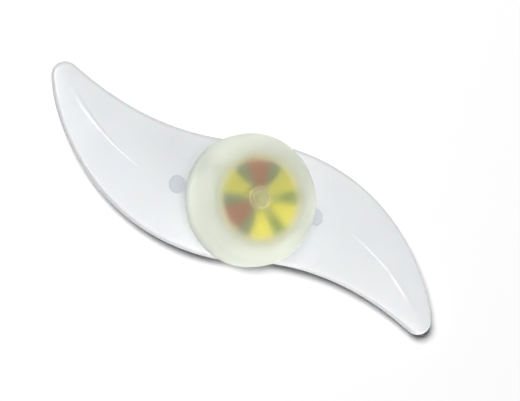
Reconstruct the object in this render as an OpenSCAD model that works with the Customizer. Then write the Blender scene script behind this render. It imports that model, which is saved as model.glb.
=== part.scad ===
// Spoke wheel light: an S-shaped clear leaf that glows from its hub, with a soft push cap in the
// middle and a clamp plate behind that traps two spokes. Millimetres. +Z is the front, X is the
// leaf's long axis, and the origin is where the hub's axis meets the clamp's flat back.

/* [Leaf] */
// Length of the leaf from tip to tip
leaf_len = 150; // [140:1:165]
// Thickness of the moulded leaf
leaf_t = 2.6; // [2.3:0.1:3.2]
// Radius of each rounded tip
tip_r = 4.7; // [4:0.1:5.5]
// Distance of each tip's centre from the long axis
tip_offset = 0.4; // [0:0.1:1.5]
// Distance from the hub's centre to the edge, square to the long axis
waist_half = 21.5; // [21:0.1:23]
// Slope of the edge where it passes the hub, in degrees
waist_slope = 21; // [17:1:25]
// Reach of the bulging edge's curve at the hub
bulge_pull = 47.5; // [44:0.5:50]
// Reach of the bulging edge's curve at the tip
bulge_tip_pull = 5; // [3:0.5:8]
// Reach of the hollow edge's curve at the hub
hollow_pull = 9; // [7:0.5:12]
// Reach of the hollow edge's curve at the tip
hollow_tip_pull = 41; // [37:0.5:44]
// Where the bulging edge meets the tip, in degrees above the long axis
tip_bulge_angle = 6; // [0:1:15]
// Where the hollow edge meets the tip, in degrees below the long axis
tip_hollow_angle = 97; // [90:1:105]
// Radius that softens the leaf's rim, front and back
rim_round = 1.15; // [0.6:0.05:1.3]

/* [Mid-rib] */
// Distance of the rib's pointed end from the hub, along the leaf
rib_start_x = 35; // [33:0.5:40]
// Distance of the rib's pointed end from the long axis
rib_start_y = 10.9; // [9:0.1:12]
// Radius of the rib's curve
rib_bend_r = 73; // [65:1:90]
// Angle that the rib turns through
rib_sweep = 27; // [20:1:28]
// Slope of the rib at its pointed end, in degrees
rib_slope = 2; // [0:1:4]
// Width of the rib near the tip
rib_w = 2.6; // [1.8:0.1:3.2]
// Height of the rib above the leaf
rib_h = 0.5; // [0.3:0.05:0.8]

/* [Ejector marks] */
// Radius of each faint round mark on the leaf's back
mark_r = 4.4; // [3:0.1:5]
// Depth of the marks
mark_depth = 0.15; // [0.1:0.05:0.3]
// Distance of the marks' centres from the cap's edge
mark_edge = 5.7; // [5:0.1:7]
// Angle of the marks to each side of the stud line
mark_angle = 28; // [24:1:31]

/* [Push cap] */
// Thickness of the cap's side wall
cap_wall = 1.8; // [1.5:0.1:2]
// Thickness of the cap's top
cap_top_t = 1.2; // [0.8:0.1:1.6]
// Radius of the cap's rounded shoulder
shoulder_r = 6.6; // [5:0.1:7]
// Rise of the cap's top towards its middle
crown = 0.5; // [0.2:0.1:1]
// Radius of the round nub in the middle of the cap
nub_r = 3.8; // [3.4:0.1:4.5]
// Width of the ring around the nub
nub_ring_w = 0.8; // [0.5:0.1:1]
// Radius of the raised disc inside the ring
nub_disc_r = 2.4; // [2:0.1:2.5]
// Height of the nub's ring and disc
nub_h = 0.5; // [0.3:0.1:0.8]
// Radius of the stem under the cap that presses the switch
stem_r = 1.9; // [1.5:0.1:2.2]

/* [Snap boss] */
// Width of the boss around the leaf's hole
boss_w = 3.9; // [3.4:0.1:5]
// Height of the boss above the leaf
boss_h = 2; // [1.6:0.1:2.6]
// Width of the lip that the cap snaps over
lip_w = 0.5; // [0.3:0.05:0.6]
// Height of the lip
lip_h = 0.8; // [0.6:0.1:1]

/* [Button cells] */
// Radius of a button cell
cell_r = 5.8; // [5.6:0.05:6]
// Height of a button cell
cell_h = 3.05; // [2.8:0.05:3.6]
// Thickness of the contact strips
contact_t = 0.2; // [0.15:0.05:0.3]
// Width of the contact strips
contact_w = 3; // [2:0.1:4]
// Thickness of the web between two cells
web_t = 0.6; // [0.4:0.05:1]
// Thickness of the carrier outside the cells
carrier_wall = 0.55; // [0.4:0.05:1]

/* [Housing] */
// Thickness of the housing's wall
cup_wall = 1.25; // [1:0.05:1.4]
// Thickness of the housing's floor
cup_floor = 0.7; // [0.6:0.05:0.9]
// Width of the flange that sits on the boss
flange_w = 2.6; // [2:0.1:3]
// Thickness of the flange
flange_t = 0.8; // [0.6:0.1:1.2]
// Free height above the switch's cover
lid_gap = 1.6; // [1.5:0.1:2]
// Thickness of the lid
lid_t = 0.8; // [0.7:0.05:1.2]
// Depth of the lid's spigot inside the housing
spigot_h = 1; // [0.6:0.1:1.4]

/* [Colour disc] */
// Radius of the coloured disc
disc_r = 12.35; // [11.5:0.05:12.9]
// Thickness of the disc
disc_t = 0.3; // [0.2:0.05:0.35]
// Thickness of the printed petals
petal_t = 0.1; // [0.05:0.01:0.15]
// Width of each petal, in degrees
petal_angle = 38; // [30:1:50]
// Radius of the hole that the stem passes through
stem_hole_r = 2.6; // [2.4:0.1:3]

/* [Circuit board] */
// Thickness of the circuit board
board_t = 1; // [0.8:0.1:1.6]
// Free height between the cells and the board
board_gap = 1.65; // [1.4:0.05:2]
// Width of the square switch
switch_w = 6; // [5.6:0.1:6.4]
// Height of the switch's body
switch_h = 3.3; // [3:0.1:3.6]
// Thickness of the switch's sheet cover
cover_t = 0.3; // [0.2:0.05:0.4]
// Radius of the switch's plunger
plunger_r = 1.7; // [1.4:0.05:1.8]
// Height of the plunger above the cover
plunger_rise = 1.3; // [1:0.1:1.4]
// Travel of the plunger
plunger_travel = 0.25; // [0.2:0.01:0.3]

/* [Lamps] */
// Radius of a lamp's lens
led_r = 1.5; // [1.3:0.05:1.6]
// Length of a lamp's lens
led_len = 4.4; // [4:0.1:4.8]
// Radius of a lamp's leads
lead_r = 0.25; // [0.2:0.01:0.3]
// Distance between a lamp's two leads
lead_pitch = 2.54; // [2:0.01:2.6]

/* [Rear clamp] */
// Thickness of the clamp plate
clamp_t = 3.4; // [3.1:0.1:4.2]
// Radius of the clamp's round middle
clamp_r = 17; // [15.5:0.1:18]
// Width of the clamp's arms
arm_w = 8; // [7:0.1:9.5]
// Radius of the clamp's round ears
ear_r = 5.6; // [5:0.1:6.5]
// Radius that softens the clamp's back edges
clamp_round = 1; // [0.5:0.1:1.4]
// Radius of a wheel spoke's groove
spoke_r = 1; // [0.9:0.05:1.2]
// Distance between the two grooves
spoke_pitch = 21; // [18:0.5:24]

/* [Studs] */
// Distance of each stud's centre from the cap's edge
stud_edge = 2.8; // [2.6:0.1:4]
// Direction of the studs, in degrees from the long axis
stud_angle = 21; // [15:1:27]
// Radius of a stud's body in the leaf
stud_r = 2.65; // [2.3:0.05:3]
// Radius of a stud's neck in the clamp
neck_r = 2; // [1.7:0.05:2.1]
// Radius of the snap head behind the clamp
snap_r = 2.35; // [2.2:0.05:2.5]
// Depth of the pocket that hides the snap head
snap_depth = 1.3; // [1:0.1:1.5]

/* [Hidden] */
$fn = 64;

// Clearances
seat_gap = 0.15;
fit_gap = 0.1;
slide_gap = 0.08;
snug_gap = 0.05;
press_gap = 0.15;
cap_gap = 0.3;

// How far each cut runs past the faces that it opens
past = 1;

// Heights, from the clamp's back to the front
back_z = clamp_t;
front_z = back_z + leaf_t;
boss_z = front_z + boss_h;
floor_z = back_z + cup_floor;
cell_z = floor_z + contact_t;
cell_top = cell_z + cell_h;
board_z = cell_top + board_gap;
board_top = board_z + board_t;
switch_top = board_top + switch_h;
cover_top = switch_top + cover_t;
plunger_top = cover_top + plunger_rise;
rim_z = cover_top + lid_gap;
lid_top = rim_z + lid_t;
disc_z = lid_top - disc_t - petal_t;
cap_in_z = lid_top + cap_gap;
shoulder_top = cap_in_z + cap_top_t;

// Radii, from the cells outwards
cell_count = 3;
cell_turn = 90;
well_r = cell_r + fit_gap;
cell_reach = (well_r + web_t / 2) / sin(180 / cell_count);
carrier_r = cell_reach + well_r + carrier_wall;
cup_in_r = carrier_r + 2 * fit_gap;
cup_r = cup_in_r + cup_wall;
bore_r = cup_r + seat_gap;
boss_r = bore_r + boss_w;
cap_in_r = boss_r + fit_gap;
cap_r = cap_in_r + cap_wall;
stud_reach = cap_r + stud_edge;
mark_reach = cap_r + mark_edge;
board_r = cup_in_r - 3 * fit_gap;
led_z = floor_z + led_r + snug_gap;
led_step = 1.1;
led_back = cup_in_r - led_step;
led_slot_r = led_r + fit_gap;
led_slot_end = led_back + led_len + 2 * fit_gap;
lead_x = led_back - lead_r;
lead_stub = 0.6;
lead_end = board_top + lead_stub;
leg_angle = 42;
leg_step = 1;
leg_reach = carrier_r - leg_step;
leg_w = 2;
post_r = 1.2;
post_step = 1.8;
post_reach = carrier_r - post_step;
post_angles = [20, 150, 270];

// Points along curves
function curve(a, b, c, d, n) = [for (i = [0 : n - 1]) let (t = i / n, u = 1 - t)
    u * u * u * a + 3 * u * u * t * b + 3 * u * t * t * c + t * t * t * d];
function heading(angle) = [cos(angle), sin(angle)];
function turned(points) = [for (p = points) -p];

// Half of the leaf's outline, from the left tip past the hub to the right tip, anticlockwise.
// The bulging edge has as many points as the hollow edge and tip across from it.
tip_steps = 10;
hollow_steps = 18;
bulge_steps = tip_steps + hollow_steps;
tip = [leaf_len / 2 - tip_r, tip_offset];
waist = [0, -waist_half];
bulge_end = -(tip + tip_r * heading(tip_bulge_angle));
hollow_end = tip + tip_r * heading(-tip_hollow_angle);
bulge_edge = curve(bulge_end, bulge_end + bulge_tip_pull * heading(tip_bulge_angle - 90),
    waist - bulge_pull * heading(waist_slope), waist, bulge_steps);
hollow_edge = curve(waist, waist + hollow_pull * heading(waist_slope),
    hollow_end - hollow_tip_pull * heading(90 - tip_hollow_angle), hollow_end, hollow_steps);
tip_arc = [for (i = [0 : tip_steps - 1]) tip + tip_r
    * heading(-tip_hollow_angle + i / tip_steps * (tip_hollow_angle + tip_bulge_angle))];
half_outline = concat(bulge_edge, hollow_edge, tip_arc);
outline = concat(half_outline, turned(half_outline));

// The outline moved inwards by a distance
function inward(points, i) = let (n = len(points), d = points[(i + 1) % n] - points[(i + n - 1) % n])
    [-d[1], d[0]] / norm(d);
function inset(points, by) = [for (i = [0 : len(points) - 1]) points[i] + by * inward(points, i)];

// The rim's section: how far each ring is set in, and its height
rim_r = min(rim_round, leaf_t / 2 - 0.1);
rim_steps = 3;
rim_rings = concat(
    [for (i = [0 : rim_steps]) let (a = i / rim_steps * 90)
        [rim_r * (1 - sin(a)), back_z + rim_r * (1 - cos(a))]],
    [for (i = [rim_steps : -1 : 0]) let (a = i / rim_steps * 90)
        [rim_r * (1 - sin(a)), front_z - rim_r * (1 - cos(a))]]);

// A solid through rings of equally many points, listed from the bottom up and each anticlockwise.
// Each end is closed by strips that join the ring's two halves, so the number of points is even.
module ring_solid(rings) {
    n = len(rings[0]);
    m = len(rings);
    points = [for (ring = rings) each ring];
    sides = [for (k = [0 : m - 2], i = [0 : n - 1]) let (j = (i + 1) % n)
        [k * n + i, (k + 1) * n + i, (k + 1) * n + j, k * n + j]];
    strips = [for (i = [0 : n / 2 - 2]) [i, i + 1, n - 2 - i, n - 1 - i]];
    bottom = strips;
    top = [for (s = strips) [for (k = [3 : -1 : 0]) (m - 1) * n + s[k]]];
    polyhedron(points, concat(bottom, sides, top), convexity = 6);
}

module at_both_ends() {
    for (turn = [0, 180]) rotate(turn) children();
}

module at_studs() {
    for (turn = [0, 180]) rotate(stud_angle + turn) translate([stud_reach, 0]) children();
}

// The rib's half width and its centre line, from its pointed end (0) to its round end (1)
rib_steps = 20;
rib_round_from = 1 - rib_w / 2 / (rib_bend_r * rib_sweep * PI / 180);
rib_root = 0.4;
function rib_half(s) = max(0.02, rib_w / 2 * pow(min(s, 1), 0.8)
    * (s > rib_round_from ? sqrt(max(0, 1 - pow((s - rib_round_from) / (1 - rib_round_from), 2))) : 1));
function rib_angle(s) = 90 - rib_slope - s * rib_sweep;
function rib_point(s, side) = [rib_start_x, rib_start_y]
    - rib_bend_r * heading(90 - rib_slope) + (rib_bend_r + side) * heading(rib_angle(s));
function rib_section(s) = let (w = rib_half(s), h = rib_h * min(1, w / rib_w * 3))
    [for (v = [[1, -rib_root], [1, 0], [0.7, 0.6 * h], [0.25, h], [-0.25, h], [-0.7, 0.6 * h],
        [-1, 0], [-1, -rib_root]]) [each rib_point(s, w * v[0]), front_z + v[1]]];
rib_stations = concat([for (i = [0 : rib_steps]) i / rib_steps * rib_round_from],
    [for (i = [1 : 5]) rib_round_from + (1 - rib_round_from) * sin(i * 18)]);

module rib() {
    ring_solid([for (s = rib_stations) rib_section(s)]);
}

// A slot for a lamp's lens, open towards the front
module lamp_slot(from, to, top) {
    translate([from, 0, led_z]) rotate([0, 90, 0]) cylinder(r = led_slot_r, h = to - from);
    translate([from, -led_slot_r, led_z]) cube([to - from, 2 * led_slot_r, top - led_z]);
}

module leaf() {
    color([0.91, 0.93, 0.95, 0.75]) difference() {
        union() {
            ring_solid([for (ring = rim_rings) [for (p = inset(outline, ring[0])) [each p, ring[1]]]]);
            at_both_ends() rib();
            boss();
        }
        translate([0, 0, back_z - past]) cylinder(r = bore_r, h = leaf_t + boss_h + 2 * past);
        at_both_ends() lamp_slot(bore_r - past, led_slot_end, boss_z + past);
        at_studs() translate([0, 0, back_z - past])
            cylinder(r = stud_r + snug_gap, h = leaf_t + 2 * past);
        at_both_ends() for (side = [-1, 1]) rotate(stud_angle + side * mark_angle)
            translate([mark_reach, 0, back_z - past]) cylinder(r = mark_r, h = past + mark_depth);
    }
}

module boss() {
    rotate_extrude() polygon([[bore_r - past, front_z - leaf_t / 2], [boss_r, front_z - leaf_t / 2],
        [boss_r, boss_z - lip_h - lip_w], [boss_r + lip_w, boss_z - lip_h],
        [boss_r + lip_w, boss_z - lip_w], [boss_r, boss_z], [bore_r - past, boss_z]]);
}

// A shoulder's points, from the wall up to the top
shoulder_steps = 12;
function shoulder(wall_r, top_z, bend_r) = [for (i = [0 : shoulder_steps])
    let (a = i / shoulder_steps * 90)
    [wall_r - bend_r * (1 - cos(a)), top_z - bend_r * (1 - sin(a))]];
function reversed(points) = [for (i = [len(points) - 1 : -1 : 0]) points[i]];

// The cap's top rises towards its middle as a shallow curve
crown_r = cap_r - shoulder_r;
crown_steps = 6;
function crown_points(edge_z) = [for (i = [1 : crown_steps]) let (r = 1 - i / crown_steps)
    [crown_r * r, edge_z + crown * (1 - r * r)]];
foot_round = 0.5;
groove_r = boss_r + lip_w + seat_gap;
groove_top = boss_z + fit_gap;
groove_low = boss_z - lip_h - lip_w - fit_gap;

module push_cap() {
    color([0.88, 0.89, 0.84, 0.7]) {
        rotate_extrude() polygon(concat(
            [[cap_in_r, front_z], [cap_r - foot_round, front_z], [cap_r, front_z + foot_round]],
            shoulder(cap_r, shoulder_top, shoulder_r), crown_points(shoulder_top),
            reversed(crown_points(cap_in_z)),
            reversed(shoulder(cap_in_r, cap_in_z, shoulder_r - cap_wall)),
            [[cap_in_r, groove_top], [groove_r, groove_top - lip_w],
            [groove_r, groove_low + lip_w], [cap_in_r, groove_low]]));
        stem();
        nub();
    }
}

module stem() {
    low = plunger_top + press_gap;
    translate([0, 0, low]) cylinder(r = stem_r, h = shoulder_top - low);
}

module nub() {
    top = shoulder_top + crown + nub_h;
    soft = nub_ring_w / 4;
    rotate_extrude() polygon([[nub_r - nub_ring_w, shoulder_top], [nub_r, shoulder_top],
        [nub_r, top - soft], [nub_r - soft, top], [nub_r - nub_ring_w + soft, top],
        [nub_r - nub_ring_w, top - soft]]);
    rotate_extrude() polygon([[0, shoulder_top], [nub_disc_r, shoulder_top],
        [nub_disc_r, top - soft], [nub_disc_r - soft, top], [0, top]]);
}

module housing_cup() {
    flange_r = bore_r + flange_w;
    color([0.93, 0.94, 0.93]) difference() {
        rotate_extrude() polygon([[0, back_z], [cup_r, back_z], [cup_r, boss_z],
            [flange_r, boss_z], [flange_r, boss_z + flange_t], [cup_r, boss_z + flange_t],
            [cup_r, rim_z], [cup_in_r, rim_z], [cup_in_r, floor_z], [0, floor_z]]);
        at_both_ends() lamp_slot(cup_in_r - past, flange_r + past, rim_z + past);
    }
}

module lid() {
    lid_r = cup_r - fit_gap;
    spigot_r = cup_in_r - fit_gap;
    spigot_in_r = spigot_r - lid_t;
    recess_r = disc_r + fit_gap;
    soft = lid_t / 4;
    color([0.95, 0.95, 0.92]) rotate_extrude() polygon([
        [stem_hole_r, rim_z], [spigot_in_r, rim_z], [spigot_in_r, rim_z - spigot_h],
        [spigot_r, rim_z - spigot_h], [spigot_r, rim_z], [lid_r, rim_z],
        [lid_r, lid_top - soft], [lid_r - soft, lid_top], [recess_r, lid_top], [recess_r, disc_z],
        [stem_hole_r, disc_z]]);
}

module colour_disc() {
    color([0.35, 0.55, 0.55]) translate([0, 0, disc_z]) difference() {
        cylinder(r = disc_r, h = disc_t);
        translate([0, 0, -past]) cylinder(r = stem_hole_r, h = disc_t + 2 * past);
    }
}

// Petals are printed sectors that start with a yellow one near the long axis
petal_count = 6;
petal_turn = 5;
red_petal_places = [2, 4];
yellow_petal_places = [0, 1, 3, 5];

module petals(places) {
    for (place = places) rotate(petal_turn + place * 360 / petal_count - petal_angle / 2)
        translate([0, 0, disc_z + disc_t]) rotate_extrude(angle = petal_angle)
            translate([stem_hole_r, 0]) square([disc_r - stem_hole_r, petal_t]);
}

module yellow_petals() {
    color([0.85, 0.80, 0.20]) petals(yellow_petal_places);
}

module red_petals() {
    color([0.75, 0.25, 0.22]) petals(red_petal_places);
}

module at_cell(place) {
    rotate(cell_turn + place * 360 / cell_count) translate([cell_reach, 0]) children();
}

// A sealed button cell: a can with a rounded bottom edge and a smaller pole
module button_cell(place, flipped) {
    pole_r = cell_r * 0.8;
    pole_h = 0.35;
    soft = 0.3;
    at_cell(place) translate([0, 0, flipped ? cell_z + cell_h : cell_z]) mirror([0, 0, flipped ? 1 : 0])
        rotate_extrude() polygon([[0, 0], [pole_r, 0], [pole_r, pole_h], [cell_r - soft, pole_h],
            [cell_r, pole_h + soft], [cell_r, cell_h - soft], [cell_r - soft, cell_h], [0, cell_h]]);
}

module cell_a() {
    color([0.78, 0.79, 0.80]) button_cell(0, false);
}

module cell_b() {
    color([0.78, 0.79, 0.80]) button_cell(1, true);
}

module cell_c() {
    color([0.78, 0.79, 0.80]) button_cell(2, false);
}

// A notch in the carrier's edge, from a distance outwards
module edge_notch(from, width) {
    translate([from, -width / 2, cell_z - past])
        cube([carrier_r - from + past, width, cell_h + 2 * past]);
}

module cell_carrier() {
    color([0.92, 0.92, 0.90]) difference() {
        union() {
            translate([0, 0, cell_z]) cylinder(r = carrier_r, h = cell_h - snug_gap);
            for (angle = post_angles) rotate(angle) translate([post_reach, 0, cell_z])
                cylinder(r = post_r, h = board_z - cell_z);
        }
        for (place = [0 : cell_count - 1]) at_cell(place)
            translate([0, 0, cell_z - past]) cylinder(r = well_r, h = cell_h + 2 * past);
        at_both_ends() edge_notch(lead_x - lead_r - fit_gap, 2 * led_slot_r);
        rotate(leg_angle) edge_notch(leg_reach - contact_t - 2 * fit_gap, leg_w + 2 * fit_gap);
    }
}

// A flat strip between two points, with round ends
module strip(from, to, width) {
    along = to - from;
    linear_extrude(contact_t) {
        for (p = [from, to]) translate(p) circle(r = width / 2);
        translate(from) rotate(atan2(along[1], along[0]))
            translate([0, -width / 2]) square([norm(along), width]);
    }
}

function cell_place(place) = cell_reach * heading(cell_turn + place * 360 / cell_count);

// A tab that stands on a strip and touches the board
module board_tab(place) {
    translate([place[0] - leg_w / 2, place[1] - contact_t / 2, cell_top])
        cube([leg_w, contact_t, board_z - cell_top]);
}

module negative_contact() {
    strip_reach = leg_reach - contact_w / 2;
    color([0.80, 0.74, 0.50]) {
        translate([0, 0, floor_z]) strip(cell_place(0), strip_reach * heading(leg_angle), contact_w);
        rotate(leg_angle) translate([strip_reach, -leg_w / 2, floor_z])
            cube([contact_w / 2, leg_w, contact_t]);
        rotate(leg_angle) translate([leg_reach - contact_t / 2, -leg_w / 2, floor_z])
            cube([contact_t, leg_w, board_z - floor_z]);
    }
}

module positive_contact() {
    place = cell_place(2);
    color([0.80, 0.74, 0.50]) {
        translate([0, 0, cell_top]) strip(place, place + [0, contact_w / 2], contact_w);
        board_tab(place);
    }
}

module upper_link() {
    color([0.80, 0.74, 0.50]) {
        translate([0, 0, cell_top]) strip(cell_place(0), cell_place(1), contact_w);
        board_tab((cell_place(0) + cell_place(1)) / 2);
    }
}

module lower_link() {
    color([0.80, 0.74, 0.50]) translate([0, 0, floor_z])
        strip(cell_place(1), cell_place(2), contact_w);
}

module circuit_board() {
    color([0.20, 0.45, 0.28]) translate([0, 0, board_z]) difference() {
        cylinder(r = board_r, h = board_t);
        at_both_ends() for (side = [-1, 1]) translate([lead_x, side * lead_pitch / 2, -past])
            cylinder(r = lead_r + fit_gap, h = board_t + 2 * past);
    }
}

// The chip and the three resistors lie to each side of the switch
chip_size = [3.9, 4.9, 1.4];
resistor_size = [2, 1.2, 0.5];
resistor_pitch = 3.6;
beside_switch = switch_w / 2 + 1.4;

module driver_chip() {
    color([0.10, 0.10, 0.11]) translate([-beside_switch - chip_size[0], -chip_size[1] / 2, board_top])
        cube(chip_size);
}

module chip_resistors() {
    color([0.15, 0.15, 0.16]) for (place = [-1, 0, 1])
        translate([beside_switch, place * resistor_pitch - resistor_size[1] / 2, board_top])
            cube(resistor_size);
}

foot_step = 0.5;
foot_r = plunger_r + foot_step;
pocket_r = foot_r + 2 * fit_gap;
pocket_h = 1;
dome_room = 0.25;

module switch_body() {
    color([0.13, 0.13, 0.14]) difference() {
        translate([-switch_w / 2, -switch_w / 2, board_top]) cube([switch_w, switch_w, switch_h]);
        translate([0, 0, switch_top - pocket_h]) cylinder(r = pocket_r, h = pocket_h + past);
    }
}

module switch_cover() {
    color([0.72, 0.73, 0.74]) difference() {
        translate([-switch_w / 2, -switch_w / 2, switch_top]) cube([switch_w, switch_w, cover_t]);
        translate([0, 0, switch_top - past]) cylinder(r = plunger_r + slide_gap, h = cover_t + 2 * past);
    }
}

module switch_plunger() {
    foot_t = pocket_h - plunger_travel - dome_room;
    soft = 0.15;
    color([0.16, 0.16, 0.17]) rotate_extrude() polygon([[0, switch_top - foot_t],
        [foot_r, switch_top - foot_t], [foot_r, switch_top], [plunger_r, switch_top],
        [plunger_r, plunger_top - soft], [plunger_r - soft, plunger_top], [0, plunger_top]]);
}

module lens() {
    translate([led_back, 0, led_z]) rotate([0, 90, 0]) rotate_extrude() {
        square([led_r, led_len - led_r]);
        translate([0, led_len - led_r]) intersection() {
            circle(r = led_r);
            square(led_r);
        }
    }
}

module leads() {
    for (side = [-1, 1]) translate([lead_x, side * lead_pitch / 2, led_z]) {
        cylinder(r = lead_r, h = lead_end - led_z);
        rotate([0, 90, 0]) cylinder(r = lead_r, h = led_back - lead_x);
        sphere(r = lead_r);
    }
}

module led_right() {
    color([0.95, 0.97, 1.00, 0.8]) lens();
}

module led_left() {
    color([0.95, 0.97, 1.00, 0.8]) rotate(180) lens();
}

module led_right_leads() {
    color([0.80, 0.80, 0.82]) leads();
}

module led_left_leads() {
    color([0.80, 0.80, 0.82]) rotate(180) leads();
}

// A round block whose back edge is rounded
module soft_block(r) {
    rotate_extrude() {
        translate([0, clamp_round]) square([r, clamp_t - clamp_round]);
        square([r - clamp_round, clamp_t]);
        translate([r - clamp_round, clamp_round]) intersection() {
            circle(r = clamp_round);
            translate([0, -clamp_round]) square(clamp_round);
        }
    }
}

module soft_bar(length, width) {
    rotate([90, 0, 90]) translate([0, 0, -length / 2]) linear_extrude(length) {
        translate([-width / 2, clamp_round]) square([width, clamp_t - clamp_round]);
        translate([-width / 2 + clamp_round, 0]) square([width - 2 * clamp_round, clamp_t]);
        for (side = [-1, 1]) translate([side * (width / 2 - clamp_round), clamp_round])
            circle(r = clamp_round);
    }
}

module rear_clamp() {
    color([0.90, 0.92, 0.94, 0.75]) difference() {
        union() {
            soft_block(clamp_r);
            at_studs() soft_block(ear_r);
            rotate(stud_angle) soft_bar(2 * stud_reach, arm_w);
        }
        at_studs() translate([0, 0, -past]) cylinder(r = neck_r + fit_gap, h = clamp_t + 2 * past);
        at_studs() translate([0, 0, -past]) cylinder(r = snap_r + fit_gap, h = snap_depth + past);
        for (side = [-1, 1]) translate([side * spoke_pitch / 2, 0, clamp_t - spoke_r]) {
            rotate([90, 0, 0]) cylinder(r = spoke_r, h = 3 * clamp_r, center = true);
            translate([-spoke_r, -1.5 * clamp_r, 0]) cube([2 * spoke_r, 3 * clamp_r, spoke_r + past]);
        }
    }
}

// A stud: its flat end shows in the leaf, and its snap head holds the clamp
module stud() {
    head_h = 1;
    head_top = snap_depth - fit_gap;
    head_low = head_top - head_h;
    soft = snap_r - neck_r;
    translate([stud_reach, 0]) rotate_extrude() polygon([[0, head_low], [neck_r, head_low],
        [snap_r, head_low + soft], [snap_r, head_top], [neck_r, head_top], [neck_r, back_z],
        [stud_r, back_z], [stud_r, front_z], [0, front_z]]);
}

module stud_right() {
    color([0.72, 0.74, 0.77]) rotate(stud_angle) stud();
}

module stud_left() {
    color([0.72, 0.74, 0.77]) rotate(stud_angle + 180) stud();
}

leaf();
push_cap();
housing_cup();
lid();
colour_disc();
yellow_petals();
red_petals();
cell_carrier();
cell_a();
cell_b();
cell_c();
negative_contact();
positive_contact();
upper_link();
lower_link();
circuit_board();
driver_chip();
chip_resistors();
switch_body();
switch_cover();
switch_plunger();
led_left();
led_right();
led_left_leads();
led_right_leads();
rear_clamp();
stud_left();
stud_right();
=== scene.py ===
# %% [markdown]
# # Dressing a wheel light
# This light is clipped between the spokes of a bicycle wheel. Two clear blades grow out of a round
# hub, and a soft cap in the middle is pressed to switch it on. The sizes and places all come from
# the construction model, which is loaded first as a fixed frame. The lesson then gives each piece
# its finish, remakes the soft cap as a turned skin and the petals as a repeated print, and sets up
# the light and the camera.

# %% Load the frame
import math

import bmesh
import bpy
from mathutils import Matrix, Vector


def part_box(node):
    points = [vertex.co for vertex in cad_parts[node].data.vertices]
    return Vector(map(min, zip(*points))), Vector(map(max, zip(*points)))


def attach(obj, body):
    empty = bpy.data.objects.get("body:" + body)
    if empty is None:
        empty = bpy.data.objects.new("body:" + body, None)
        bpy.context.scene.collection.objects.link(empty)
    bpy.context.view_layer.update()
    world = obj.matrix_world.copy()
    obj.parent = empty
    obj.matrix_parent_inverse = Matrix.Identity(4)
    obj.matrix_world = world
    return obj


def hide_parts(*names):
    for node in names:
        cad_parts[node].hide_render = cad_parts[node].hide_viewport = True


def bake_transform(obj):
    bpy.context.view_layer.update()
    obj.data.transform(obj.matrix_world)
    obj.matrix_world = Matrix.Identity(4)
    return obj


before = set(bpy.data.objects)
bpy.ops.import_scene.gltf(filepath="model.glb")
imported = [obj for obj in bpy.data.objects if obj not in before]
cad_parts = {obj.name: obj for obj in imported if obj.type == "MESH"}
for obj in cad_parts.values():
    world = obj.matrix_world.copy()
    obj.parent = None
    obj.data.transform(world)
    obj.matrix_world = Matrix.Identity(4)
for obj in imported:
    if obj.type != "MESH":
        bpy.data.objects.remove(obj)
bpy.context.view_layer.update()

MM = 0.001

# %% [markdown]
# ## A short way to write node trees
# Shader trees and geometry trees are both made of nodes and links. A few small helpers keep the
# cells short: they add a node and set its inputs, add named sockets to a group, or do one step of
# arithmetic. An input goes by its label, or by i and its number where several share one. Writing
# each node out in full would also work, but the idea of a tree would drown in the typing.

# %% Helpers for node trees
def find_input(node, name):
    if name[0] == "i" and name[1:].isdigit():
        return node.inputs[int(name[1:])]
    return node.inputs[name.replace("_", " ")]


def add_node(tree, kind, settings=None, **inputs):
    node = tree.nodes.new(kind)
    for name, value in (settings or {}).items():
        setattr(node, name, value)
    for name, value in inputs.items():
        socket = find_input(node, name)
        if isinstance(value, bpy.types.NodeSocket):
            tree.links.new(value, socket)
        else:
            socket.default_value = value
    return node


def add_sockets(tree, direction, sockets):
    for name, kind, value in sockets:
        socket = tree.interface.new_socket(name, in_out=direction, socket_type="NodeSocket" + kind)
        if value is not None:
            socket.default_value = value


def math_node(tree, operation, *values):
    return add_node(tree, "ShaderNodeMath", {"operation": operation},
                    **{f"i{i}": v for i, v in enumerate(values)}).outputs[0]


def rgba(red, green, blue):
    return (red, green, blue, 1.0)


print("Helpers are ready")

# %% [markdown]
# ## One skin for everything that was moulded
# Moulded plastic is never one flat colour. It carries faint clouds where it cooled unevenly, a
# very fine grain from the tool's surface, and a roughness that drifts a little. Every moulded
# piece here needs that, so it is built once as a group with named inputs. The pattern is read
# from Object coordinates, so it stays on the piece whatever the view or the pose.

# %% The moulded skin group
CLOUD_LOW = 0.35
CLOUD_HIGH = 0.65


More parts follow.
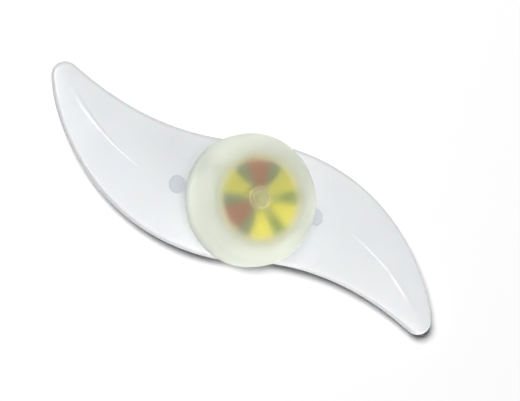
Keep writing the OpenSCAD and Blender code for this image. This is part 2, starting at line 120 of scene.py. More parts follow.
def make_moulded_skin():
    tree = bpy.data.node_groups.new("moulded_skin", "ShaderNodeTree")
    add_sockets(tree, "INPUT", [
        ("Colour", "Color", rgba(0.8, 0.8, 0.8)), ("Cloud colour", "Color", rgba(0.7, 0.7, 0.7)),
        ("Cloud scale", "Float", 60.0), ("Cloud amount", "Float", 0.3),
        ("Grain scale", "Float", 2500.0), ("Roughness", "Float", 0.4),
        ("Roughness drift", "Float", 0.08)])
    add_sockets(tree, "OUTPUT", [("Colour", "Color", None), ("Roughness", "Float", None),
                                 ("Height", "Float", None)])
    given = tree.nodes.new("NodeGroupInput")
    place = tree.nodes.new("ShaderNodeTexCoord").outputs["Object"]
    clouds = add_node(tree, "ShaderNodeTexNoise", Vector=place, Scale=given.outputs["Cloud scale"],
                      Detail=3.0, Roughness=0.5).outputs["Fac"]
    grain = add_node(tree, "ShaderNodeTexNoise", Vector=place, Scale=given.outputs["Grain scale"],
                     Detail=2.0).outputs["Fac"]
    spread = add_node(tree, "ShaderNodeMapRange", i0=clouds, i1=CLOUD_LOW, i2=CLOUD_HIGH,
                      i3=0.0, i4=given.outputs["Cloud amount"]).outputs[0]
    colour = add_node(tree, "ShaderNodeMix", {"data_type": "RGBA"}, i0=spread,
                      i6=given.outputs["Colour"], i7=given.outputs["Cloud colour"]).outputs[2]
    drift = math_node(tree, "MULTIPLY", math_node(tree, "SUBTRACT", clouds, 0.5),
                      given.outputs["Roughness drift"])
    rough = math_node(tree, "ADD", given.outputs["Roughness"], drift)
    result = tree.nodes.new("NodeGroupOutput")
    for name, value in (("Colour", colour), ("Roughness", rough), ("Height", grain)):
        tree.links.new(value, result.inputs[name])
    return tree


moulded_skin = make_moulded_skin()
print("The skin group has the inputs", [i.name for i in moulded_skin.interface.items_tree
                                        if i.in_out == "INPUT"])

# %% [markdown]
# ## A material from a skin
# A material is a Principled shader with the skin's outputs linked in. What is the same all over
# the piece, such as the transmission or the index of refraction, is set on the shader itself.

# %% A maker of moulded materials
def moulded_material(name, colour, cloud_colour, cloud_scale=60.0, cloud_amount=0.3,
                     grain_scale=2500.0, grain_depth=0.02, roughness=0.4, drift=0.08, **constant):
    material = bpy.data.materials.new(name)
    material.use_nodes = True
    tree = material.node_tree
    shader = tree.nodes["Principled BSDF"]
    skin = add_node(tree, "ShaderNodeGroup", {"node_tree": moulded_skin}, Colour=rgba(*colour),
                    Cloud_colour=rgba(*cloud_colour), Cloud_scale=cloud_scale,
                    Cloud_amount=cloud_amount, Grain_scale=grain_scale, Roughness=roughness,
                    Roughness_drift=drift)
    bump = add_node(tree, "ShaderNodeBump", Strength=1.0, Distance=grain_depth * MM,
                    Height=skin.outputs["Height"])
    tree.links.new(skin.outputs["Colour"], shader.inputs["Base Color"])
    tree.links.new(skin.outputs["Roughness"], shader.inputs["Roughness"])
    tree.links.new(bump.outputs["Normal"], shader.inputs["Normal"])
    for socket, value in constant.items():
        shader.inputs[socket.replace("_", " ")].default_value = value
    return material


def dress(node, material):
    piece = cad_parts[node]
    piece.data.materials.clear()
    piece.data.materials.append(material)


print("Materials can be made")

# %% [markdown]
# ## The leaf
# The leaf is one clear moulding with a frosted look. Its outline, rim, ribs and hub are already
# right in the frame, but the frame's mesh is made of loose triangles, so light would break at each
# facet. A copy with its points merged can be shaded smoothly, with sharp edges only where two faces
# meet at a steep angle. Weighted normals keep the big flat faces flat beside their rounded rims. On
# the real blade each rib sinks into the surface towards the tip, so the copy lowers it all along
# and takes nearly all of it away at the tip's end. The copy stands in for the node. The clamp
# behind is copied and smoothed in the same way.

# %% Smooth copies of frame pieces
FRONT_HEIGHT = 6.0 * MM
RIB_KEEP = 0.7
RIB_LOSS = 0.92
RIB_SINKS_FROM = 50 * MM
RIB_SINKS_TO = 66 * MM
HUB_REACH = 24 * MM
MERGE_REACH = 0.001 * MM
CREASE_ANGLE = 32


def ease(t):
    return t * t * (3 - 2 * t)


def sink_ribs(shape):
    for vert in shape.verts:
        reach = math.hypot(vert.co.x, vert.co.y)
        if reach > HUB_REACH and vert.co.z > FRONT_HEIGHT:
            along = (reach - RIB_SINKS_FROM) / (RIB_SINKS_TO - RIB_SINKS_FROM)
            keep = RIB_KEEP * (1 - RIB_LOSS * ease(min(max(along, 0), 1)))
            vert.co.z = FRONT_HEIGHT + (vert.co.z - FRONT_HEIGHT) * keep


def smooth_copy(node, name):
    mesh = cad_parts[node].data.copy()
    mesh.name = name
    piece = bpy.data.objects.new(name, mesh)
    bpy.context.scene.collection.objects.link(piece)
    shape = bmesh.new()
    shape.from_mesh(mesh)
    bmesh.ops.remove_doubles(shape, verts=shape.verts, dist=MERGE_REACH)
    if node == "leaf":
        sink_ribs(shape)
    shape.to_mesh(mesh)
    shape.free()
    if mesh.has_custom_normals:
        mesh.attributes.remove(mesh.attributes["custom_normal"])
    mesh.shade_smooth()
    mesh.set_sharp_from_angle(angle=math.radians(CREASE_ANGLE))
    weigh = piece.modifiers.new("weigh", "WEIGHTED_NORMAL")
    weigh.keep_sharp = True
    bpy.context.view_layer.update()
    seen = piece.evaluated_get(bpy.context.evaluated_depsgraph_get())
    piece.data = bpy.data.meshes.new_from_object(seen)
    piece.data.name = name
    piece.modifiers.clear()
    return piece


leaf = smooth_copy("leaf", "leaf_moulding")
clamp = smooth_copy("rear_clamp", "clamp_moulding")
for piece, node in ((leaf, "leaf"), (clamp, "rear_clamp")):
    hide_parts(node)
    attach(piece, "light")
    print(piece.name, "has", len(piece.data.polygons), "faces")

# %% [markdown]
# ## Marks and a painted highlight in the clear leaf
# Two things are painted into the frosted moulding's colour. The round marks that the ejector pins
# left behind shine through as faint rings, and the long outer flank of each rib gets a painted
# highlight, a pale line that stands for the light it catches. Both places follow from the shape, so
# a group works them out from Object coordinates: two mark centres, each with its partner half a
# turn away, and the side of a rib that faces away from the leaf's long axis. A rib's other steep
# faces get a weaker share of the painted highlight, and it fades towards the tip.

# %% Rings and a painted rib highlight as masks
# Where the painted rib highlight falls on flanks and steep faces, and how far it fades
FLANK_FROM = 0.02
FLANK_TO = 0.25
STEEP_FROM = 0.99
STEEP_TO = 0.93
STEEP_SHARE = 0.7
ABOVE_FRONT = 0.02 * MM
HUB_EDGE = 1 * MM
FADED_SHARE = 0.1


def vector_value(tree, operation, *vectors):
    return add_node(tree, "ShaderNodeVectorMath", {"operation": operation},
                    **{f"i{i}": v for i, v in enumerate(vectors)}).outputs["Value"]


def between(tree, value, low, high, at_low=0.0, at_high=1.0):
    return add_node(tree, "ShaderNodeMapRange", i0=value, i1=low, i2=high, i3=at_low,
                    i4=at_high).outputs[0]


def make_leaf_marks_and_highlight():
    tree = bpy.data.node_groups.new("leaf_marks_and_highlight", "ShaderNodeTree")
    add_sockets(tree, "INPUT", [
        ("Mark one", "Vector", None), ("Mark two", "Vector", None),
        ("Mark radius", "Float", 0.004), ("Line width", "Float", 0.0005),
        ("Front height", "Float", 0.006), ("Hub radius", "Float", 0.024),
        ("Fade start", "Float", 0.042), ("Fade end", "Float", 0.062)])
    add_sockets(tree, "OUTPUT", [("Rings", "Float", None), ("Painted rib highlight", "Float", None)])
    given = tree.nodes.new("NodeGroupInput").outputs
    coordinates = tree.nodes.new("ShaderNodeTexCoord").outputs
    place = add_node(tree, "ShaderNodeSeparateXYZ", Vector=coordinates["Object"]).outputs
    facing = add_node(tree, "ShaderNodeSeparateXYZ", Vector=coordinates["Normal"]).outputs
    flat = add_node(tree, "ShaderNodeCombineXYZ", X=place[0], Y=place[1]).outputs[0]
    turned = add_node(tree, "ShaderNodeCombineXYZ", X=math_node(tree, "MULTIPLY", place[0], -1.0),
                      Y=math_node(tree, "MULTIPLY", place[1], -1.0)).outputs[0]
    reaches = [vector_value(tree, "DISTANCE", where, given[mark])
               for where in (flat, turned) for mark in ("Mark one", "Mark two")]
    near = math_node(tree, "MINIMUM", math_node(tree, "MINIMUM", reaches[0], reaches[1]),
                     math_node(tree, "MINIMUM", reaches[2], reaches[3]))
    off_ring = math_node(tree, "ABSOLUTE", math_node(tree, "SUBTRACT", near, given["Mark radius"]))
    rings = between(tree, off_ring, 0.0, given["Line width"], 1.0, 0.0)
    # Painted highlight: outward rib flanks, and more weakly the steep faces, are marked for a pale
    # colour that stands for the light they catch
    outward = math_node(tree, "MULTIPLY", facing[1], math_node(tree, "SIGN", place[0]))
    flank = between(tree, outward, FLANK_FROM, FLANK_TO)
    steep = between(tree, facing[2], STEEP_FROM, STEEP_TO)
    lit = math_node(tree, "MAXIMUM", flank, math_node(tree, "MULTIPLY", steep, STEEP_SHARE))
    rise = math_node(tree, "SUBTRACT", place[2], given["Front height"])
    above = between(tree, rise, 0.0, ABOVE_FRONT)
    beyond = between(tree, vector_value(tree, "LENGTH", flat), given["Hub radius"],
                     math_node(tree, "ADD", given["Hub radius"], HUB_EDGE))
    fade = between(tree, math_node(tree, "ABSOLUTE", place[0]), given["Fade start"],
                   given["Fade end"], 1.0, FADED_SHARE)
    line = math_node(tree, "MULTIPLY", math_node(tree, "MULTIPLY", lit, above),
                     math_node(tree, "MULTIPLY", beyond, fade))
    result = tree.nodes.new("NodeGroupOutput")
    tree.links.new(rings, result.inputs["Rings"])
    tree.links.new(line, result.inputs["Painted rib highlight"])
    return tree


leaf_marks_and_highlight = make_leaf_marks_and_highlight()
print("The masks are ready")

# %% [markdown]
# ## The leaf's frosted plastic
# The real plastic is clear, with a frosted bloom that scatters light just under the surface. Full
# transmission would show every facet of the back and turn dark over the shadow, so only about a
# third of the light passes and the rest is a pale body colour, some of it spread below the surface.
# A thin coat gives the moulded gloss that runs along the rims.

# %% The leaf's material
clear_frost = moulded_material(
    "clear_frost", (0.64, 0.66, 0.68), (0.67, 0.68, 0.69), cloud_scale=30, cloud_amount=0.8,
    roughness=0.25, grain_depth=0.004, Transmission_Weight=0.3, IOR=1.46,
    Subsurface_Weight=0.3, Subsurface_Scale=0.003, Coat_Weight=0.8, Coat_Roughness=0.25)
MARK_REACH = 26.7 * MM
MARK_ANGLES = (math.radians(49), math.radians(-7))
MARK_R = 4.4 * MM
MARK_LINE = 0.5 * MM
MARK_SHARE = 0.35
MARK_GREY = (0.60, 0.63, 0.64)
# The pale colour of the painted rib highlight
RIB_PAINTED_HIGHLIGHT = (0.90, 0.91, 0.92)


def paint_marks_and_rib_highlight(material):
    tree = material.node_tree
    shader = tree.nodes["Principled BSDF"]
    skin_colour = shader.inputs["Base Color"].links[0].from_socket
    centres = [(MARK_REACH * math.cos(a), MARK_REACH * math.sin(a), 0) for a in MARK_ANGLES]
    marks = add_node(tree, "ShaderNodeGroup", {"node_tree": leaf_marks_and_highlight}, Mark_one=centres[0],
                     Mark_two=centres[1], Mark_radius=MARK_R, Line_width=MARK_LINE,
                     Front_height=FRONT_HEIGHT)
    ringed = add_node(tree, "ShaderNodeMix", {"data_type": "RGBA"},
                      i0=math_node(tree, "MULTIPLY", marks.outputs["Rings"], MARK_SHARE),
                      i6=skin_colour, i7=rgba(*MARK_GREY)).outputs[2]
    # Painted highlight: the pale colour goes where the ribs would catch light
    rib_highlighted = add_node(tree, "ShaderNodeMix", {"data_type": "RGBA"}, i0=marks.outputs["Painted rib highlight"],
                     i6=ringed, i7=rgba(*RIB_PAINTED_HIGHLIGHT)).outputs[2]
    tree.links.new(rib_highlighted, shader.inputs["Base Color"])


paint_marks_and_rib_highlight(clear_frost)
leaf.data.materials.clear()
leaf.data.materials.append(clear_frost)
clamp.data.materials.clear()
clamp.data.materials.append(clear_frost)
print("The leaf and the clamp are frosted")

# %% [markdown]
# ## The soft cap
# The cap is a silicone skin: a wall that grips the hub, a round shoulder, a shallow crown and a
# small nub to feel for in the dark. It is a turned shape, so its section is drawn once as a line
# of points and swept round the hub's axis. The line starts and ends on the axis, which closes it.
# The sizes below are in millimetres. The wall is thick where it grips and thinner under the crown.

# %% The cap's section
cap_low, cap_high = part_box("push_cap")
CAP_R = cap_high.x / MM
CAP_FOOT = cap_low.z / MM
NUB_TOP = cap_high.z / MM
CAP_WALL = 1.8
CAP_TOP_T = 1.2
SHOULDER_R = 6.6
CROWN = 0.5
NUB_H = 0.5
NUB_R = 3.8
NUB_RING_W = 0.8
NUB_DISC_R = 2.4
NUB_RISE = 0.3
NUB_DISC_EDGE = 0.6
NUB_RING_EDGE = 0.45
NUB_EDGE = 0.75
CROWN_STEPS = (5, 6.5, 8, 9.5, 11, 12.5, 13.7)
WALL_LEVELS = (9.8, 8.6, 7.5)
FOOT_ROUND = 0.5
GROOVE_LEVELS = (6.6, 7.1, 7.6, 8.1)
GROOVE_DEPTH = 0.55
THIN_FROM = 14
UNDER_STEPS = (12, 9, 6, 3)
STEM_R = 1.9
STEM_GAP = 0.15
STEM_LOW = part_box("switch_plunger")[1].z / MM + STEM_GAP
crown_top = NUB_TOP - NUB_H
shoulder_top = crown_top - CROWN
crown_reach = CAP_R - SHOULDER_R


def crown_height(r, top_t=0.0):
    return shoulder_top - top_t + CROWN * (1 - (r / crown_reach) ** 2)


def arc(centre, radius, start, end, steps):
    angles = [math.radians(start + (end - start) * i / steps) for i in range(steps + 1)]
    return [(centre[0] + radius * math.cos(a), centre[1] + radius * math.sin(a)) for a in angles]


def step_at(r, width, from_rise, to_rise, steps=6):
    points = []
    for i in range(steps + 1):
        t = i / steps
        here = r + width * (t - 0.5)
        rise = from_rise + (to_rise - from_rise) * ease(t)
        points.append((here, crown_height(here) + rise))
    return points


def cap_section():
    inner_r = CAP_R - CAP_WALL
    nub = [(0, crown_height(0) + NUB_RISE)] + step_at(NUB_DISC_R, NUB_DISC_EDGE, NUB_RISE, 0)
    nub += step_at(NUB_R - NUB_RING_W, NUB_RING_EDGE, 0, NUB_RISE)
    nub += step_at(NUB_R, NUB_EDGE, NUB_RISE, 0)
    crown = [(r, crown_height(r)) for r in CROWN_STEPS]
    shoulder_centre = (crown_reach, shoulder_top - SHOULDER_R)
    shoulder = arc(shoulder_centre, SHOULDER_R, 90, 0, 16)
    wall = [(CAP_R, z) for z in WALL_LEVELS]
    foot_centre = (CAP_R - FOOT_ROUND, CAP_FOOT + FOOT_ROUND)
    foot = arc(foot_centre, FOOT_ROUND, 0, -90, 4) + [(inner_r, CAP_FOOT)]
    deep_r = inner_r + GROOVE_DEPTH
    groove = list(zip((inner_r, deep_r, deep_r, inner_r), GROOVE_LEVELS))
    inside = arc(shoulder_centre, SHOULDER_R - CAP_WALL, 0, 90, 12)
    inside = [(r, z + CAP_WALL - CAP_TOP_T if z > THIN_FROM else z) for r, z in inside]
    under = [(r, crown_height(r, CAP_TOP_T)) for r in UNDER_STEPS]
    stem = [(STEM_R, crown_height(STEM_R, CAP_TOP_T)), (STEM_R, STEM_LOW), (0, STEM_LOW)]
    outside = nub + crown + shoulder + wall + foot
    return outside + groove + inside + under + stem, len(outside)


# %% [markdown]
# ## Sweeping the section
# Blender's Screw modifier could turn the line, but a short loop leaves control over two things: a
# point on the axis stays one point instead of a ring of doubled ones, and the faces on the inside
# of the skin can be told from the outside ones, because they get a material of their own.

# %% Sweep a section round the axis
ON_AXIS = 1e-6
LATHE_CREASE = 50


def lathe(name, section, inside_from, turns=128):
    shape = bmesh.new()
    rings = []
    for r, z in section:
        if r < ON_AXIS:
            rings.append([shape.verts.new((0, 0, z * MM))])
            continue
        rings.append([shape.verts.new((r * MM * math.cos(a), r * MM * math.sin(a), z * MM))
                      for a in (2 * math.pi * i / turns for i in range(turns))])
    for step, (upper, lower) in enumerate(zip(rings, rings[1:])):
        for i in range(turns):
            j = (i + 1) % turns
            corners = [upper[i % len(upper)], lower[i % len(lower)], lower[j % len(lower)],
                       upper[j % len(upper)]]
            face = shape.faces.new(list(dict.fromkeys(corners)))
            face.material_index = int(step >= inside_from)
    bmesh.ops.recalc_face_normals(shape, faces=shape.faces)
    mesh = bpy.data.meshes.new(name)
    shape.to_mesh(mesh)
    shape.free()
    mesh.shade_smooth()
    mesh.set_sharp_from_angle(angle=math.radians(LATHE_CREASE))
    piece = bpy.data.objects.new(name, mesh)
    bpy.context.scene.collection.objects.link(piece)
    return piece


section, inside_from = cap_section()
cap = lathe("soft_cap", section, inside_from)
print("The cap has", len(cap.data.polygons), "faces and stands", round(NUB_TOP, 1), "mm high")

# %% [markdown]
# ## Milky silicone
# Milky silicone blurs what lies behind it and glows where light gets in. A rough glass alone leaves
# the print nearly sharp, because the gap under the cap is less than a millimetre. So each face
# mixes in a translucent share, which sends light on in all directions. Shadow rays may partly pass,
# in one measure where they meet a face from the front and another from behind, so the print is lit
# but the cap still throws a soft shade on the leaf. Over the disc the scatter colour is painted a
# little warmer: a painted tint that stands for the print's coloured light coming through the cap.

# %% The cap's material
PAINTED_TINT_TO = 11 * MM
PLAIN_FROM = 14 * MM


def add_scatter(material, share, colour, painted_tint_over_disc, from_front, from_back):
    tree = material.node_tree
    place = add_node(tree, "ShaderNodeSeparateXYZ",
                     Vector=tree.nodes.new("ShaderNodeTexCoord").outputs["Object"]).outputs
    flat = add_node(tree, "ShaderNodeCombineXYZ", X=place[0], Y=place[1]).outputs[0]
    outside = between(tree, vector_value(tree, "LENGTH", flat), PAINTED_TINT_TO, PLAIN_FROM)
    # Painted tint: inside this radius the scatter colour is warmed to stand for the print's
    # coloured light
    tint = add_node(tree, "ShaderNodeMix", {"data_type": "RGBA"}, i0=outside,
                    i6=rgba(*painted_tint_over_disc), i7=rgba(*colour)).outputs[2]
    scatter = add_node(tree, "ShaderNodeBsdfTranslucent", Color=tint)
    body = add_node(tree, "ShaderNodeMixShader", i0=share,
                    i1=tree.nodes["Principled BSDF"].outputs[0], i2=scatter.outputs[0])
    is_shadow = tree.nodes.new("ShaderNodeLightPath").outputs["Is Shadow Ray"]
    is_behind = tree.nodes.new("ShaderNodeNewGeometry").outputs["Backfacing"]
    passing = add_node(tree, "ShaderNodeMix", i0=is_behind, i2=from_front,
                       i3=from_back).outputs[0]
    clear = tree.nodes.new("ShaderNodeBsdfTransparent")
    lit = add_node(tree, "ShaderNodeMixShader",
                   i0=math_node(tree, "MULTIPLY", is_shadow, passing),
                   i1=body.outputs[0], i2=clear.outputs[0])
    tree.links.new(lit.outputs[0], tree.nodes["Material Output"].inputs["Surface"])


milky = moulded_material(
    "milky_silicone", (0.95, 0.95, 0.92), (0.93, 0.96, 0.93), cloud_scale=40, cloud_amount=0.5,
    roughness=0.6, grain_depth=0.01, Transmission_Weight=0.98, IOR=1.41,
    Specular_IOR_Level=0.15)
add_scatter(milky, share=0.85, colour=(0.92, 0.935, 0.885), painted_tint_over_disc=(0.87, 0.87, 0.72),
            from_front=0.9, from_back=0.55)
milky_inside = moulded_material(
    "milky_silicone_inside", (0.95, 0.95, 0.92), (0.93, 0.95, 0.92), roughness=0.6,
    grain_depth=0.01, Transmission_Weight=1.0, IOR=1.41)
add_scatter(milky_inside, share=0.8, colour=(0.96, 0.97, 0.94), painted_tint_over_disc=(0.96, 0.96, 0.88),
            from_front=0.55, from_back=1.0)
cap.data.materials.append(milky)
cap.data.materials.append(milky_inside)
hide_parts("push_cap")
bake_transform(cap)

# %% [markdown]
# ## What is printed and hidden under the cap
# The disc's print, the housing, the cells and the circuit are finished in plain moulded, printed
# or metal materials. The colours right under the cap are darker than the real ones, because more
# light gets in through the cap here than through real silicone.

# %% Finishes for the other pieces
white_plastic = moulded_material("white_plastic", (0.45, 0.46, 0.44), (0.40, 0.42, 0.42),
                                 roughness=0.5)
warm_white = moulded_material("warm_white", (0.17, 0.17, 0.13), (0.16, 0.16, 0.125),
                              roughness=0.35)
teal_print = moulded_material("teal_print", (0.03, 0.07, 0.06), (0.04, 0.08, 0.06),
                              roughness=0.5)
yellow_print = moulded_material("yellow_print", (0.26, 0.24, 0.004), (0.245, 0.235, 0.008),
                                roughness=0.5)
red_print = moulded_material("red_print", (0.15, 0.015, 0.01), (0.135, 0.02, 0.015),
                             roughness=0.5)
plated_steel = moulded_material("plated_steel", (0.62, 0.63, 0.64), (0.55, 0.56, 0.58),
                                roughness=0.3, cloud_scale=300, Metallic=1.0)
stamped_brass = moulded_material("stamped_brass", (0.72, 0.60, 0.32), (0.62, 0.52, 0.30),
                                 roughness=0.3, cloud_scale=300, Metallic=1.0)
board_green = moulded_material("board_green", (0.03, 0.16, 0.06), (0.04, 0.20, 0.08),
                               roughness=0.35, cloud_scale=500)
black_plastic = moulded_material("black_plastic", (0.02, 0.02, 0.022), (0.03, 0.03, 0.033),
                                 roughness=0.45)
cream_plastic = moulded_material("cream_plastic", (0.19, 0.18, 0.02), (0.21, 0.20, 0.03),
                                 roughness=0.5)
clear_lens = moulded_material("clear_lens", (0.95, 0.97, 1.0), (0.90, 0.93, 0.97), roughness=0.08,
                              grain_depth=0.001, Transmission_Weight=0.9, IOR=1.52)
grey_stud = moulded_material("grey_stud", (0.37, 0.395, 0.42), (0.34, 0.365, 0.39), roughness=0.4)

# %% [markdown]
# ## The petals as a repeated print
# Six wedges stand round the disc. They are one shape in six places, so a node group makes them: it
# builds one flat wedge and puts a copy at each place whose bit is set in a whole number. The same
# group then makes the yellow petals and the red ones. The frame's petals would do as well, but the
# group's inputs show what can be changed: the reach, the width, the thickness and the places.

# %% A ring of wedges
def make_wedge_ring():
    tree = bpy.data.node_groups.new("wedge_ring", "GeometryNodeTree")
    add_sockets(tree, "INPUT", [
        ("Inner radius", "Float", 0.003), ("Outer radius", "Float", 0.012),
        ("Wedge angle", "Float", 0.6), ("First turn", "Float", 0.0), ("Thickness", "Float", 0.0001),
        ("Height", "Float", 0.0), ("Places", "Int", 6), ("Place bits", "Int", 63),
        ("Material", "Material", None)])
    add_sockets(tree, "OUTPUT", [("Geometry", "Geometry", None)])
    given = tree.nodes.new("NodeGroupInput").outputs
    grid = add_node(tree, "GeometryNodeMeshGrid", Size_X=1.0, Size_Y=1.0, Vertices_X=12,
                    Vertices_Y=24).outputs["Mesh"]
    place = add_node(tree, "ShaderNodeSeparateXYZ",
                     Vector=tree.nodes.new("GeometryNodeInputPosition").outputs[0])
    reach = add_node(tree, "ShaderNodeMapRange", i0=place.outputs[0], i1=-0.5, i2=0.5,
                     i3=given["Inner radius"], i4=given["Outer radius"]).outputs[0]
    turn = math_node(tree, "MULTIPLY", place.outputs[1], given["Wedge angle"])
    bent = add_node(tree, "ShaderNodeCombineXYZ",
                    X=math_node(tree, "MULTIPLY", reach, math_node(tree, "COSINE", turn)),
                    Y=math_node(tree, "MULTIPLY", reach, math_node(tree, "SINE", turn)),
                    Z=given["Height"]).outputs[0]
    wedge = add_node(tree, "GeometryNodeSetPosition", Geometry=grid, Position=bent).outputs[0]
    solid = add_node(tree, "GeometryNodeExtrudeMesh", {"mode": "FACES"}, Mesh=wedge,
                     Individual=False, Offset_Scale=given["Thickness"]).outputs["Mesh"]
    index = tree.nodes.new("GeometryNodeInputIndex").outputs[0]
    points = add_node(tree, "GeometryNodePoints", Count=given["Places"]).outputs[0]
    shifted = math_node(tree, "FLOOR", math_node(
        tree, "DIVIDE", given["Place bits"], math_node(tree, "POWER", 2.0, index)))
    chosen = math_node(tree, "MODULO", shifted, 2.0)
    step = math_node(tree, "DIVIDE", 2 * math.pi, given["Places"])
    angle = math_node(tree, "MULTIPLY_ADD", index, step, given["First turn"])
    copies = add_node(tree, "GeometryNodeInstanceOnPoints", Points=points, Instance=solid,
                      Selection=math_node(tree, "GREATER_THAN", chosen, 0.5),
                      Rotation=add_node(tree, "ShaderNodeCombineXYZ", Z=angle).outputs[0])
    real = add_node(tree, "GeometryNodeRealizeInstances", Geometry=copies.outputs[0]).outputs[0]
    painted = add_node(tree, "GeometryNodeSetMaterial", Geometry=real, Material=given["Material"])
    result = tree.nodes.new("NodeGroupOutput")
    tree.links.new(painted.outputs[0], result.inputs[0])
    return tree


def from_group(name, tree, **values):
    holder = bpy.data.objects.new(name + "_holder", bpy.data.meshes.new(name + "_holder"))
    bpy.context.scene.collection.objects.link(holder)
    modifier = holder.modifiers.new("made", "NODES")
    modifier.node_group = tree
    sockets = {i.name: i.identifier for i in tree.interface.items_tree if i.in_out == "INPUT"}
    for label, value in values.items():
        modifier[sockets[label.replace("_", " ")]] = value
    holder.update_tag()
    bpy.context.view_layer.update()
    seen = holder.evaluated_get(bpy.context.evaluated_depsgraph_get())
    mesh = bpy.data.meshes.new_from_object(seen)
    mesh.name = name
    bpy.data.objects.remove(holder)
    piece = bpy.data.objects.new(name, mesh)
    bpy.context.scene.collection.objects.link(piece)
    return piece


PETAL_INNER_R = 2.6 * MM
PETAL_ANGLE = math.radians(38)
PETAL_TURN = math.radians(5)
YELLOW_PLACES = 0b101011
RED_PLACES = 0b010100
wedge_ring = make_wedge_ring()
disc_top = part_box("colour_disc")[1].z
petal_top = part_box("yellow_petals")[1].z
petal_size = {"Inner_radius": PETAL_INNER_R, "Outer_radius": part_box("colour_disc")[1].x,
              "Wedge_angle": PETAL_ANGLE, "First_turn": PETAL_TURN, "Height": disc_top,
              "Thickness": petal_top - disc_top}
yellow = from_group("yellow_wedges", wedge_ring, Place_bits=YELLOW_PLACES,
                    Material=yellow_print, **petal_size)
red = from_group("red_wedges", wedge_ring, Place_bits=RED_PLACES, Material=red_print,
                 **petal_size)
for piece, node, finish in ((yellow, "yellow_petals", "print_yellow"),
                            (red, "red_petals", "print_red")):
    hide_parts(node)
    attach(piece, "light")
    print(piece.name, "has", len(piece.data.polygons), "faces")

# %% [markdown]
# ## A bead round the disc
# A low rounded bead on the lid frames the print. It's another turned shape, so the same sweep makes
# it from a half circle. It shows through the cap as a pale line at the disc's edge.

# %% The bead
BEAD_R = 12.95
BEAD_HALF = 0.4
BEAD_H = 0.25
BEAD_SINK = 0.02
BEAD_STEPS = 8
lid_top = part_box("lid")[1].z / MM
bead_line = [(BEAD_R + BEAD_HALF * math.cos(a), lid_top - BEAD_SINK + BEAD_H * math.sin(a))
             for a in (math.pi * i / BEAD_STEPS for i in range(BEAD_STEPS + 1))]
bead = lathe("lid_bead", bead_line + bead_line[:1], inside_from=len(bead_line) + 1)
bead_cream = moulded_material("bead_cream", (0.42, 0.38, 0.23), (0.39, 0.35, 0.23), roughness=0.5)
bead.data.materials.append(bead_cream)
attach(bead, "light")
print("The bead has", len(bead.data.polygons), "faces")

# %% [markdown]
# ## Colours that shift across the disc
# Where two yellow petals are neighbours, the ground between them is painted greener, a painted glow
# that stands for the yellow's light spread through the milky cap, and the yellow gets lighter
# towards one side. Both shifts run straight across the disc, so one helper mixes a second colour in
# along a heading, again read from Object coordinates.

# %% Colours that drift across the disc
def drift_across(material, heading, low, high, far_colour):
    tree = material.node_tree
    shader = tree.nodes["Principled BSDF"]
    near_colour = shader.inputs["Base Color"].links[0].from_socket
    place = tree.nodes.new("ShaderNodeTexCoord").outputs["Object"]
    along = vector_value(tree, "DOT_PRODUCT", place, (math.cos(heading), math.sin(heading), 0))
    share = between(tree, along, low, high)
    mixed = add_node(tree, "ShaderNodeMix", {"data_type": "RGBA"}, i0=share, i6=near_colour,
                     i7=rgba(*far_colour)).outputs[2]
    tree.links.new(mixed, shader.inputs["Base Color"])


# Painted glow: the teal turns greener towards the neighbouring yellow petals, for their light
# spread by the cap
drift_across(teal_print, heading=math.radians(13), low=2 * MM, high=8 * MM,
             far_colour=(0.045, 0.10, 0.008))
# The yellow gets lighter along this heading
drift_across(yellow_print, heading=math.radians(-40), low=-4 * MM, high=9 * MM,
             far_colour=(0.42, 0.37, 0.01))
print("The ground and the yellow petals drift in colour")

# %% [markdown]
# ## Dressing the frame's own pieces
# The other nodes already have the right shape, so they stay and only get a finish. A table of node
# and material is easier to check than a long run of calls.

# %% Dress the other pieces
FINISHES = {
    "housing_cup": white_plastic, "lid": warm_white, "colour_disc": teal_print,
    "cell_carrier": white_plastic,
    "cell_a": plated_steel, "cell_b": plated_steel, "cell_c": plated_steel,
    "negative_contact": stamped_brass, "positive_contact": stamped_brass,
    "upper_link": stamped_brass, "lower_link": stamped_brass, "circuit_board": board_green,
    "driver_chip": black_plastic, "chip_resistors": black_plastic, "switch_body": black_plastic,
    "switch_cover": plated_steel, "switch_plunger": cream_plastic, "led_left": clear_lens,
    "led_right": clear_lens, "led_left_leads": plated_steel, "led_right_leads": plated_steel,
    "stud_left": grey_stud, "stud_right": grey_stud,
}
for node, material in FINISHES.items():
    dress(node, material)
print(len(FINISHES), "frame pieces have their finish")

# %% [markdown]
# ## The table
# The light lies on a white table. A single large face is enough.

# %% The table
TABLE_HALF = 1.2
table_mesh = bpy.data.meshes.new("table")
table_corners = [(x * TABLE_HALF, y * TABLE_HALF, 0)
                 for x, y in ((-1, -1), (1, -1), (1, 1), (-1, 1))]
table_mesh.from_pydata(table_corners, [], [(0, 1, 2, 3)])
table = bpy.data.objects.new("table", table_mesh)
bpy.context.scene.collection.objects.link(table)
table_white = moulded_material("table_white", (0.97, 0.97, 0.97), (0.96, 0.96, 0.96), roughness=0.8,
                               cloud_scale=5, grain_depth=0.0, Specular_IOR_Level=0.0)
table_mesh.materials.append(table_white)
print("The table is", 2 * TABLE_HALF, "m wide")

# %% [markdown]
# ## The camera
# The picture was taken from above, with a lean: the leaf's long axis is turned in it, and the
# camera stands a little off the hub's axis to one side. Rather than typing a position, the cell
# builds the camera from the turn, the two leans, the reach and the place of the hub in the picture.

# %% The camera
LEAF_TURN = math.radians(32.9)
LEAN = math.radians(22.2)
LEAN_SIDE = math.radians(9.7)
CAMERA_REACH = 895 * MM
HUB_HEIGHT = FRONT_HEIGHT
SENSOR_WIDTH = 36
PIXELS_PER_M = 3171.0
HUB_PIXEL = (246.8, 200.8)
IMAGE_SIZE = (520, 401)


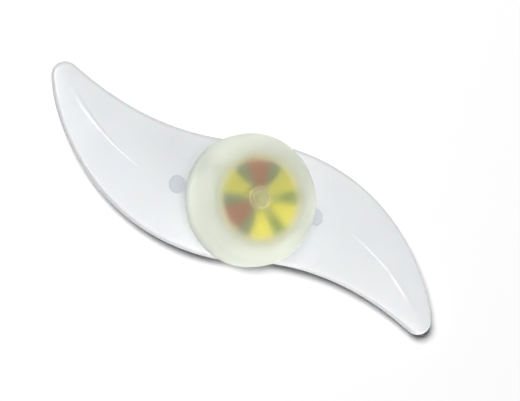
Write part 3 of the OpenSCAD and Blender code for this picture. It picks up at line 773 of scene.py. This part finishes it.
def camera_matrix():
    side = Vector((math.cos(LEAN_SIDE), math.sin(LEAN_SIDE), 0))
    lean = Matrix.Rotation(-LEAN, 3, Vector((-side.y, side.x, 0)))
    axes = Matrix.Rotation(LEAF_TURN, 3, "Z") @ lean
    off_x = (HUB_PIXEL[0] - IMAGE_SIZE[0] / 2) / PIXELS_PER_M
    off_y = -(HUB_PIXEL[1] - IMAGE_SIZE[1] / 2) / PIXELS_PER_M
    place = Vector((0, 0, HUB_HEIGHT)) + axes @ Vector((-off_x, -off_y, CAMERA_REACH))
    return Matrix.Translation(place) @ axes.to_4x4()


camera = bpy.data.objects.new("camera", bpy.data.cameras.new("camera"))
bpy.context.scene.collection.objects.link(camera)
camera.matrix_world = camera_matrix()
camera.data.sensor_width = SENSOR_WIDTH
camera.data.lens = PIXELS_PER_M * CAMERA_REACH * SENSOR_WIDTH / IMAGE_SIZE[0]
bpy.context.scene.camera = camera
print("The lens is", round(camera.data.lens, 1), "mm long")

# %% [markdown]
# ## The lights
# The table has to be pure white with a thin dark shadow, while the frosted leaf on it must keep its
# soft greys. One set of lamps can't do both, so Blender's light linking gives each lamp its
# receivers: a large key from the upper left lights only the table and throws the shadow, and
# weaker softboxes light the object from the key's side, from the front, from the mirror side that
# gives the gloss, and low along the edges. The cap has a low lamp of its own, and it doesn't block
# the large key, because its shadow on the table came out too wide. The room itself is white to the
# eye and in reflections, and dim to everything else.

# %% The lights
ROOM_SEEN = 0.90
ROOM_DIM = 0.04


def softbox(name, size, power, direction, distance):
    light = bpy.data.lights.new(name, "AREA")
    light.shape = "DISK"
    light.size = size
    light.energy = power
    lamp = bpy.data.objects.new(name, light)
    bpy.context.scene.collection.objects.link(lamp)
    turn = Matrix.Rotation(LEAF_TURN, 3, "Z")
    outward = (turn @ Vector(direction)).normalized()
    lamp.location = outward * distance
    lamp.rotation_euler = outward.to_track_quat("Z", "Y").to_euler()
    return lamp


def lights_only(lamps, name, state, *pieces):
    chosen = bpy.data.collections.new(name)
    for piece in pieces:
        chosen.objects.link(piece)
    for entry in chosen.collection_objects:
        entry.light_linking.link_state = state
    for lamp in lamps:
        lamp.light_linking.receiver_collection = chosen


table_key = softbox("table_key", size=1.84, power=202.0, direction=(-0.57, 0.37, 1.0),
                    distance=4.0)
key = softbox("key", size=0.5, power=20.0, direction=(-0.46, 0.36, 1.0),
              distance=1.8)
front = softbox("front", size=1.2, power=15.0, direction=(-0.1, 0.1, 1.0),
                distance=1.8)
balance = softbox("balance", size=0.9, power=10.0, direction=(0.27, -0.24, 1.0),
                  distance=1.8)
low = softbox("low", size=0.5, power=7.5, direction=(0.6, -1.0, 0.2),
              distance=0.8)
cap_side = softbox("cap_side", size=0.6, power=4.0, direction=(0.6, -1.0, 0.35),
                   distance=0.8)
lights_only([table_key], "table_only", "INCLUDE", table)
lights_only([key, front, balance], "all_but_table", "EXCLUDE", table)
lights_only([low], "leaf_sides", "EXCLUDE", table, cap)
lights_only([cap_side], "cap_only", "INCLUDE", cap)
no_shadow = bpy.data.collections.new("no_cap_shadow")
no_shadow.objects.link(cap)
no_shadow.collection_objects[0].light_linking.link_state = "EXCLUDE"
table_key.light_linking.blocker_collection = no_shadow
world = bpy.data.worlds.new("studio")
world.use_nodes = True
world.node_tree.nodes["Background"].inputs["Color"].default_value = rgba(1.0, 1.0, 1.0)
rays = world.node_tree.nodes.new("ShaderNodeLightPath").outputs
seen_rays = math_node(world.node_tree, "MAXIMUM", rays["Is Camera Ray"], rays["Is Glossy Ray"])
strength = math_node(world.node_tree, "MULTIPLY_ADD", seen_rays, ROOM_SEEN - ROOM_DIM, ROOM_DIM)
world.node_tree.links.new(strength, world.node_tree.nodes["Background"].inputs["Strength"])
bpy.context.scene.world = world
bpy.context.scene.view_settings.view_transform = "Standard"
